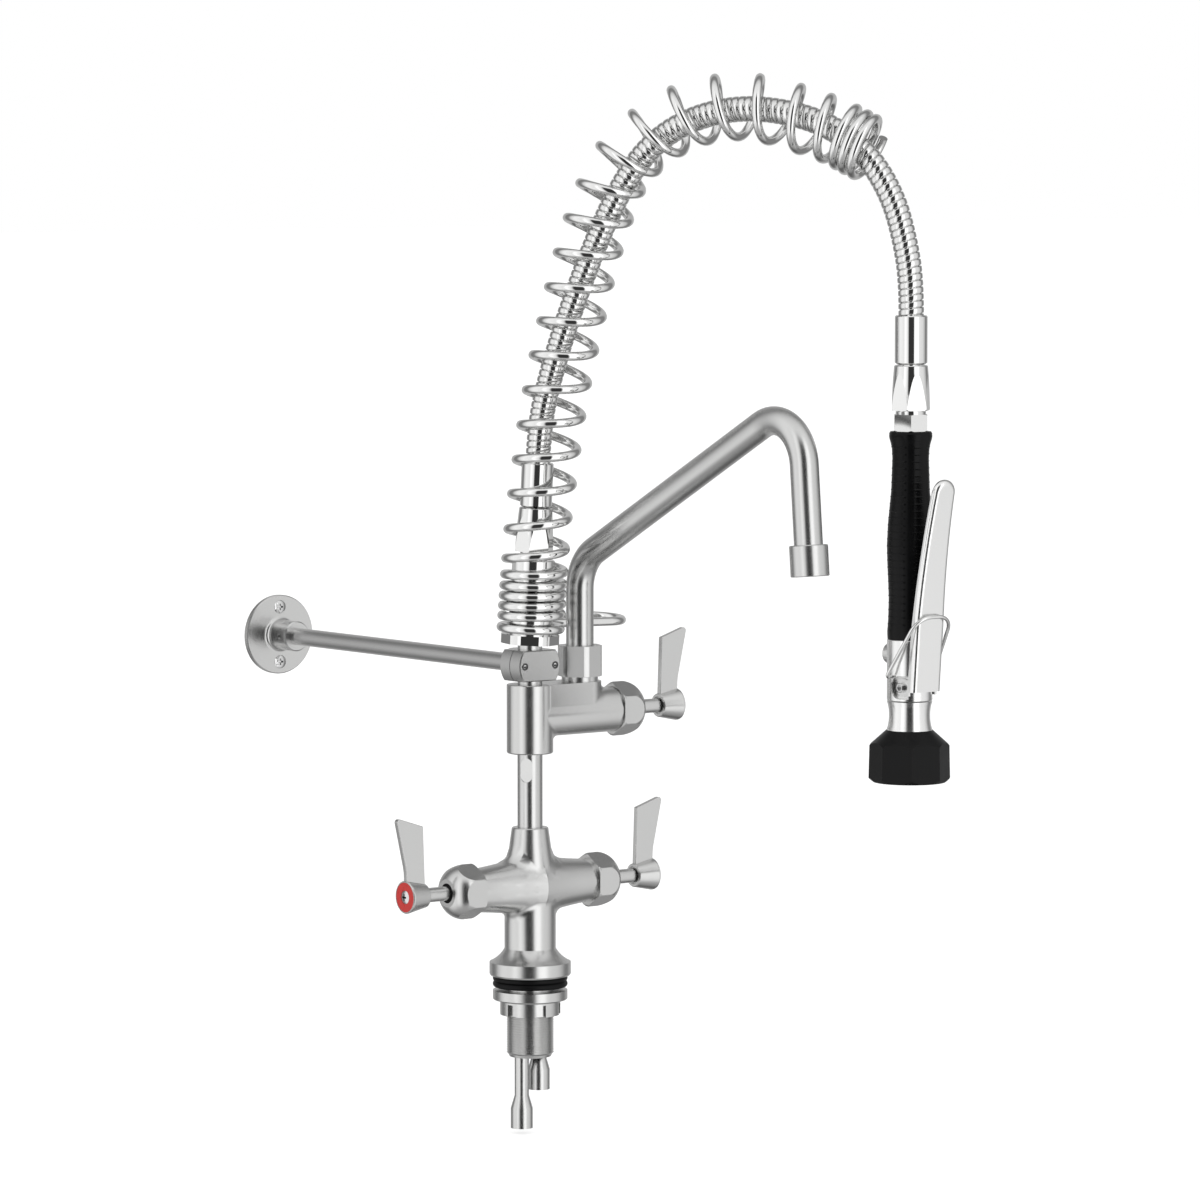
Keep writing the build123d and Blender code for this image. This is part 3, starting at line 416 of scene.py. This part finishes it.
def make_grip():
    """The rubber hand grip on the gun's core tube."""
    segments = 120
    rings = 470
    lip = 0.0095
    verts = []
    faces = []
    for number in range(rings + 1):
        height = GRIP_BOTTOM + (GRIP_TOP - GRIP_BOTTOM) * number / rings
        for step in range(segments):
            angle = math.tau * step / segments
            radius = grip_surface(height, angle)
            verts.append(GUN_AXIS + Vector((radius * math.cos(angle), radius * math.sin(angle), height)))
    for height, first in ((GRIP_BOTTOM, 0), (GRIP_TOP, rings * segments)):
        for step in range(segments):
            angle = math.tau * step / segments
            verts.append(GUN_AXIS + Vector((lip * math.cos(angle), lip * math.sin(angle), height)))
    rows = [(rings + 1) * segments] + [number * segments for number in range(rings + 1)]
    rows.append((rings + 2) * segments)
    for low, high in zip(rows, rows[1:]):
        for step in range(segments):
            after = (step + 1) % segments
            faces.append((low + step, low + after, high + after, high + step))
    grip = make_piece("ribbed_grip", verts, faces, smooth_angle=50.0)
    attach(grip, "gun")
    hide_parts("grip")
    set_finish(grip, "grip_rubber")


# ---- small trim ----
def valve_matrix(side, seat, height):
    """The place of a valve's parts: local Z runs outwards from its seat and local Y is up."""
    turn = Matrix(((0, 0, side), (side, 0, 0), (0, 1, 0))).to_4x4()
    return Matrix.Translation((side * seat, 0, height)) @ turn


def make_ring(name, outline, place, segments=48):
    """A ring of revolution about local Z from a closed outline of (radius, height) points."""
    count = len(outline)
    verts = []
    faces = []
    for step in range(segments):
        angle = math.tau * step / segments
        for radius, height in outline:
            verts.append(place @ Vector((radius * math.cos(angle), radius * math.sin(angle), height)))
    for step in range(segments):
        here = step * count
        there = (step + 1) % segments * count
        for index in range(count):
            after = (index + 1) % count
            faces.append((here + index, there + index, there + after, here + after))
    return make_piece(name, verts, faces)


def make_wiper(valve, seat_frame):
    """The rubber wiper in the mouth of a bonnet nut."""
    outline = [(0.0051, -0.0024), (0.0068, -0.0024), (0.0068, -0.0004), (0.0062, 0.0003), (0.0051, -0.0002)]
    ring = make_ring(valve + "_wiper", outline, seat_frame @ Matrix.Translation((0, 0, NUT_LENGTH)))
    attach(ring, "root")
    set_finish(ring, "black_rubber")


def make_painted_recess_shade(valve, seat_frame):
    """A black cross plate at the floor of a lever screw's cross recess: painted shade, where the recess lies
    in shadow.
    """
    face = seat_frame @ Matrix.Translation((0, 0, SCREW_FACE - CROSS_DEPTH))
    reach = CROSS_REACH
    half = CROSS_HALF_WIDTH
    corners = [(reach, half), (half, half), (half, reach), (-half, reach), (-half, half), (-reach, half),
               (-reach, -half), (-half, -half), (-half, -reach), (half, -reach), (half, -half),
               (reach, -half)]
    verts = [face @ Vector((x, y, 0)) for x, y in corners]
    cross = make_piece(valve + "_recess_painted_shade", verts, [tuple(range(len(corners)))])
    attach(cross, valve + "_valve")
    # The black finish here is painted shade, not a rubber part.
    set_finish(cross, "black_rubber")


def make_clamp_screw_shade_rim(side, name):
    """A thin dark ring round a clamp screw's socket: painted shade in the gap between the screw head and its
    counterbore.
    """
    outline = [(0.0014, 0.0), (0.0026, 0.0), (0.0026, 0.0002), (0.0014, 0.0002)]
    across, front, height = CLAMP_SCREW
    turn = Matrix.Rotation(math.pi / 2, 4, "X")
    place = Matrix.Translation((side * across, front, height)) @ turn
    ring = make_ring(name + "_clamp_screw_painted_shade_rim", outline, place)
    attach(ring, "root")
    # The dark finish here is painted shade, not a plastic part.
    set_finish(ring, "dark_plastic")


def make_trim():
    """The valves' wipers, painted shade in the lever screws' recesses, and painted shade rings round the
    clamp screws.
    """
    for valve, (side, seat, height) in VALVES.items():
        seat_frame = valve_matrix(side, seat, height)
        make_wiper(valve, seat_frame)
        # Painted shade: a black plate in the lever screw's cross recess.
        make_painted_recess_shade(valve, seat_frame)
    for side, name in ((-1, "left"), (1, "right")):
        # Painted shade: a dark ring round each clamp screw's socket.
        make_clamp_screw_shade_rim(side, name)


make_camera()
make_hose()
make_spring()
make_grip()
make_trim()


# ---- materials ----
def new_material(name):
    """A material with its node tree and its Principled shader."""
    material = bpy.data.materials.new(name)
    material.use_nodes = True
    tree = material.node_tree
    return material, tree, tree.nodes["Principled BSDF"]


def add_node(tree, kind, **inputs):
    """A node with its inputs set by name. An input that is a socket is linked."""
    node = tree.nodes.new(kind)
    for name, value in inputs.items():
        socket = node.inputs[name.replace("_", " ")]
        if isinstance(value, bpy.types.NodeSocket):
            tree.links.new(value, socket)
        else:
            socket.default_value = value
    return node


def stretched_noise(tree, scale, stretch, detail=6.0):
    """Noise drawn out along the directions whose stretch is small."""
    place = add_node(tree, "ShaderNodeTexCoord")
    mapping = add_node(tree, "ShaderNodeMapping", Vector=place.outputs["Object"], Scale=stretch)
    return add_node(tree, "ShaderNodeTexNoise", Vector=mapping.outputs["Vector"], Scale=scale,
                    Detail=detail, Roughness=0.65)


def ranged(tree, value, low, high, start=0.35, end=0.65):
    """A value between start and end, spread from low to high."""
    node = tree.nodes.new("ShaderNodeMapRange")
    tree.links.new(value, node.inputs["Value"])
    node.inputs["From Min"].default_value = start
    node.inputs["From Max"].default_value = end
    node.inputs["To Min"].default_value = low
    node.inputs["To Max"].default_value = high
    return node.outputs["Result"]


def mixed_colour(tree, factor, first, second):
    """A colour that runs from the first to the second with the factor."""
    node = tree.nodes.new("ShaderNodeMix")
    node.data_type = "RGBA"
    tree.links.new(factor, node.inputs["Factor"])
    node.inputs["A"].default_value = (*first, 1)
    node.inputs["B"].default_value = (*second, 1)
    return node.outputs["Result"]


def steel(name, tint, rough, grain=(1, 1, 1), strength=0.003, scale=2600.0):
    """Stainless steel whose polishing marks run across the direction with the largest grain."""
    material, tree, shader = new_material(name)
    lines = stretched_noise(tree, scale, grain)
    cloud = stretched_noise(tree, 55.0, (1, 1, 1), 3.0)
    dark = tuple(channel * 0.95 for channel in tint)
    factor = ranged(tree, lines.outputs["Fac"], 0.0, 1.0)
    tree.links.new(mixed_colour(tree, factor, dark, tint), shader.inputs["Base Color"])
    tree.links.new(ranged(tree, cloud.outputs["Fac"], rough * 0.95, rough * 1.05), shader.inputs["Roughness"])
    bump = add_node(tree, "ShaderNodeBump", Strength=strength, Distance=BUMP_DISTANCE,
                    Height=lines.outputs["Fac"])
    tree.links.new(bump.outputs["Normal"], shader.inputs["Normal"])
    shader.inputs["Metallic"].default_value = 1.0
    return material


def rubber(name, tint, rough, strength=0.15):
    """Dull moulded rubber with a fine grain and faint clouding."""
    material, tree, shader = new_material(name)
    grain = stretched_noise(tree, 1800.0, (1, 1, 1), 4.0)
    cloud = stretched_noise(tree, 40.0, (1, 1, 1), 2.0)
    light = tuple(channel * 1.5 for channel in tint)
    factor = ranged(tree, cloud.outputs["Fac"], 0.0, 1.0)
    tree.links.new(mixed_colour(tree, factor, tint, light), shader.inputs["Base Color"])
    tree.links.new(ranged(tree, cloud.outputs["Fac"], rough * 0.9, rough * 1.1), shader.inputs["Roughness"])
    bump = add_node(tree, "ShaderNodeBump", Strength=strength, Distance=BUMP_DISTANCE,
                    Height=grain.outputs["Fac"])
    tree.links.new(bump.outputs["Normal"], shader.inputs["Normal"])
    shader.inputs["Specular IOR Level"].default_value = 0.15
    return material


def plastic(name, tint, rough):
    """Smooth moulded plastic, a little uneven in colour and gloss."""
    material, tree, shader = new_material(name)
    cloud = stretched_noise(tree, 300.0, (1, 1, 1), 3.0)
    light = tuple(min(channel * 1.12, 1.0) for channel in tint)
    factor = ranged(tree, cloud.outputs["Fac"], 0.0, 1.0)
    tree.links.new(mixed_colour(tree, factor, tint, light), shader.inputs["Base Color"])
    tree.links.new(ranged(tree, cloud.outputs["Fac"], rough * 0.9, rough * 1.1), shader.inputs["Roughness"])
    return material


def make_materials():
    """One material for each slot."""
    return {
        "satin_steel": steel("satin_steel", (0.66, 0.66, 0.655), 0.25, (1, 1, 14), 0.004),
        "polished_steel": steel("polished_steel", (0.82, 0.82, 0.815), 0.07, (1, 1, 10), 0.001),
        "spring_steel": steel("spring_steel", (0.82, 0.82, 0.815), 0.07, (1, 1, 1), 0.001, 900.0),
        "hose_steel": steel("hose_steel", (0.78, 0.78, 0.775), 0.10, (1, 1, 1), 0.001, 900.0),
        "gun_steel": steel("gun_steel", (0.88, 0.88, 0.875), 0.20, (14, 14, 1), 0.002),
        "screw_steel": steel("screw_steel", (0.74, 0.74, 0.74), 0.14, (1, 1, 1), 0.002),
        "valve_brass": steel("valve_brass", (0.72, 0.58, 0.32), 0.25, (1, 1, 6)),
        "black_rubber": rubber("black_rubber", (0.003, 0.003, 0.0033), 0.42),
        "grip_rubber": rubber("grip_rubber", (0.0035, 0.0035, 0.0038), 0.30),
        "bumper_rubber": rubber("bumper_rubber", (0.0045, 0.0045, 0.0048), 0.34, 0.03),
        "dark_plastic": plastic("dark_plastic", (0.05, 0.05, 0.05), 0.4),
        "red_index": plastic("red_index", (0.66, 0.035, 0.03), 0.30),
        "blue_index": plastic("blue_index", (0.02, 0.10, 0.50), 0.30),
    }


def soften(piece):
    """A fine bevel on the edges of a nut or the bumper, so that they catch the light."""
    bevel = piece.modifiers.new("soft_edges", "BEVEL")
    bevel.width = 0.0004
    bevel.segments = 2
    bevel.limit_method = "ANGLE"
    bevel.angle_limit = math.radians(32)
    bevel.harden_normals = True


def dress(materials):
    """Every shown piece gets the material of its slot."""
    slots = {part["node"]: part["material_slot"] for part in frame["record"]["subparts"]}
    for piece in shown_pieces():
        slot = piece["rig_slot"] if "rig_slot" in piece else slots[piece["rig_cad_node"]]
        piece.data.materials.clear()
        piece.data.materials.append(materials[slot])
        if "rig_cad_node" in piece:
            piece.data.shade_smooth()
            piece.data.set_sharp_from_angle(angle=math.radians(30))
            if piece["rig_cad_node"] in SOFT_EDGED:
                soften(piece)


dress(make_materials())


# ---- studio ----
# Where the dark gap between the softboxes lies, counted from +X towards +Y. Then three lists of
# (place, grey): the walls at the horizon, by degrees from the gap; the studio above and below them, by
# rise from -1 to 1; and how much all of it is dimmed, by nearness to the gap's side from -1 to 1.
DARK_GAP_AZIMUTH = 232.7
STUDIO_WALLS = [
    (-180, 0.90), (-150, 0.85), (-118, 0.95), (-92, 1.15), (-72, 1.08), (-54, 1.00), (-44, 1.40),
    (-25, 0.90), (-18, 0.04), (16, 0.04), (22, 1.50), (46, 1.55), (55, 1.00), (70, 0.92), (100, 0.88),
    (122, 1.00), (150, 0.90), (180, 0.90),
]
STUDIO_LEVELS = [(-1.0, 0.45), (-0.65, 0.62), (-0.35, 0.95), (0.0, 1.05), (0.5, 1.20), (1.0, 0.95)]
STUDIO_DEPTHS = [
    (-1.0, 0.60), (-0.80, 0.54), (-0.66, 0.24), (-0.42, 0.26), (-0.2, 0.72), (0.1, 0.97), (1.0, 1.0),
]


def ramp(tree, factor, stops):
    """A grey that follows (place, grey) stops."""
    node = tree.nodes.new("ShaderNodeValToRGB")
    tree.links.new(factor, node.inputs["Fac"])
    elements = node.color_ramp.elements
    elements.remove(elements[-1])
    for index, (place, grey) in enumerate(stops):
        element = elements.new(place) if index else elements[0]
        element.position = place
        element.color = (grey, grey, grey, 1)
    return node.outputs["Color"]


def blended(tree, factor, first, second, kind="MIX"):
    """Two linked colours mixed by a linked factor, or wholly where the factor is None."""
    node = tree.nodes.new("ShaderNodeMix")
    node.data_type = "RGBA"
    node.blend_type = kind
    if factor is None:
        node.inputs["Factor"].default_value = 1.0
    else:
        tree.links.new(factor, node.inputs["Factor"])
    tree.links.new(first, node.inputs["A"])
    tree.links.new(second, node.inputs["B"])
    return node.outputs["Result"]


def math_node(tree, operation, *values):
    """A Math node's result. A value that is a socket is linked."""
    node = tree.nodes.new("ShaderNodeMath")
    node.operation = operation
    for socket, value in zip(node.inputs, values):
        if isinstance(value, bpy.types.NodeSocket):
            tree.links.new(value, socket)
        else:
            socket.default_value = value
    return node.outputs["Value"]


def make_world():
    """A white studio: bright softboxes at both sides, a dark gap between them and greyer walls."""
    world = bpy.data.worlds.new("studio")
    bpy.context.scene.world = world
    world.use_nodes = True
    tree = world.node_tree
    background = tree.nodes["Background"]
    direction = add_node(tree, "ShaderNodeTexCoord").outputs["Generated"]
    split = add_node(tree, "ShaderNodeSeparateXYZ", Vector=direction)
    around = math_node(tree, "ARCTAN2", split.outputs["Y"], split.outputs["X"])
    turned = math_node(tree, "SUBTRACT", around, math.radians(DARK_GAP_AZIMUTH - 180))
    share = math_node(tree, "FRACT", math_node(tree, "DIVIDE", turned, math.tau))
    walls = ramp(tree, share, [(0.5 + angle / 360, grey) for angle, grey in STUDIO_WALLS])
    height = math_node(tree, "MULTIPLY_ADD", split.outputs["Z"], 0.5, 0.5)
    levels = ramp(tree, height, [(0.5 + rise / 2, grey) for rise, grey in STUDIO_LEVELS])
    steepness = math_node(tree, "ABSOLUTE", split.outputs["Z"])
    away = ranged(tree, steepness, 0.0, 1.0, 0.60, 0.85)
    front = (math.cos(math.radians(DARK_GAP_AZIMUTH)), math.sin(math.radians(DARK_GAP_AZIMUTH)))
    nearer = math_node(tree, "MULTIPLY_ADD", split.outputs["X"], front[0],
                       math_node(tree, "MULTIPLY", split.outputs["Y"], front[1]))
    depth = ramp(tree, math_node(tree, "MULTIPLY_ADD", nearer, 0.5, 0.5),
                 [(0.5 + rise / 2, grey) for rise, grey in STUDIO_DEPTHS])
    mix = blended(tree, away, walls, levels)
    mix = blended(tree, None, mix, depth, "MULTIPLY")
    seen = add_node(tree, "ShaderNodeLightPath").outputs["Is Camera Ray"]
    white = tree.nodes.new("ShaderNodeRGB").outputs["Color"]
    white.default_value = (1, 1, 1, 1)
    tree.links.new(blended(tree, seen, mix, white), background.inputs["Color"])


def make_floor():
    """A plain pale floor below the supply tails."""
    size = 30.0
    height = cad_box[0].z - 0.004
    floor = make_piece("floor", [(-size, -size, height), (size, -size, height), (size, size, height),
                                 (-size, size, height)], [(0, 1, 2, 3)])
    material, _, shader = new_material("pale_floor")
    shader.inputs["Base Color"].default_value = (0.5, 0.5, 0.5, 1)
    shader.inputs["Roughness"].default_value = 0.9
    shader.inputs["Emission Color"].default_value = (1, 1, 1, 1)
    shader.inputs["Emission Strength"].default_value = 0.75
    floor.data.materials.append(material)
    floor.visible_glossy = False
    floor.visible_diffuse = False


make_world()
make_floor()
bpy.context.scene.view_settings.view_transform = "Standard"
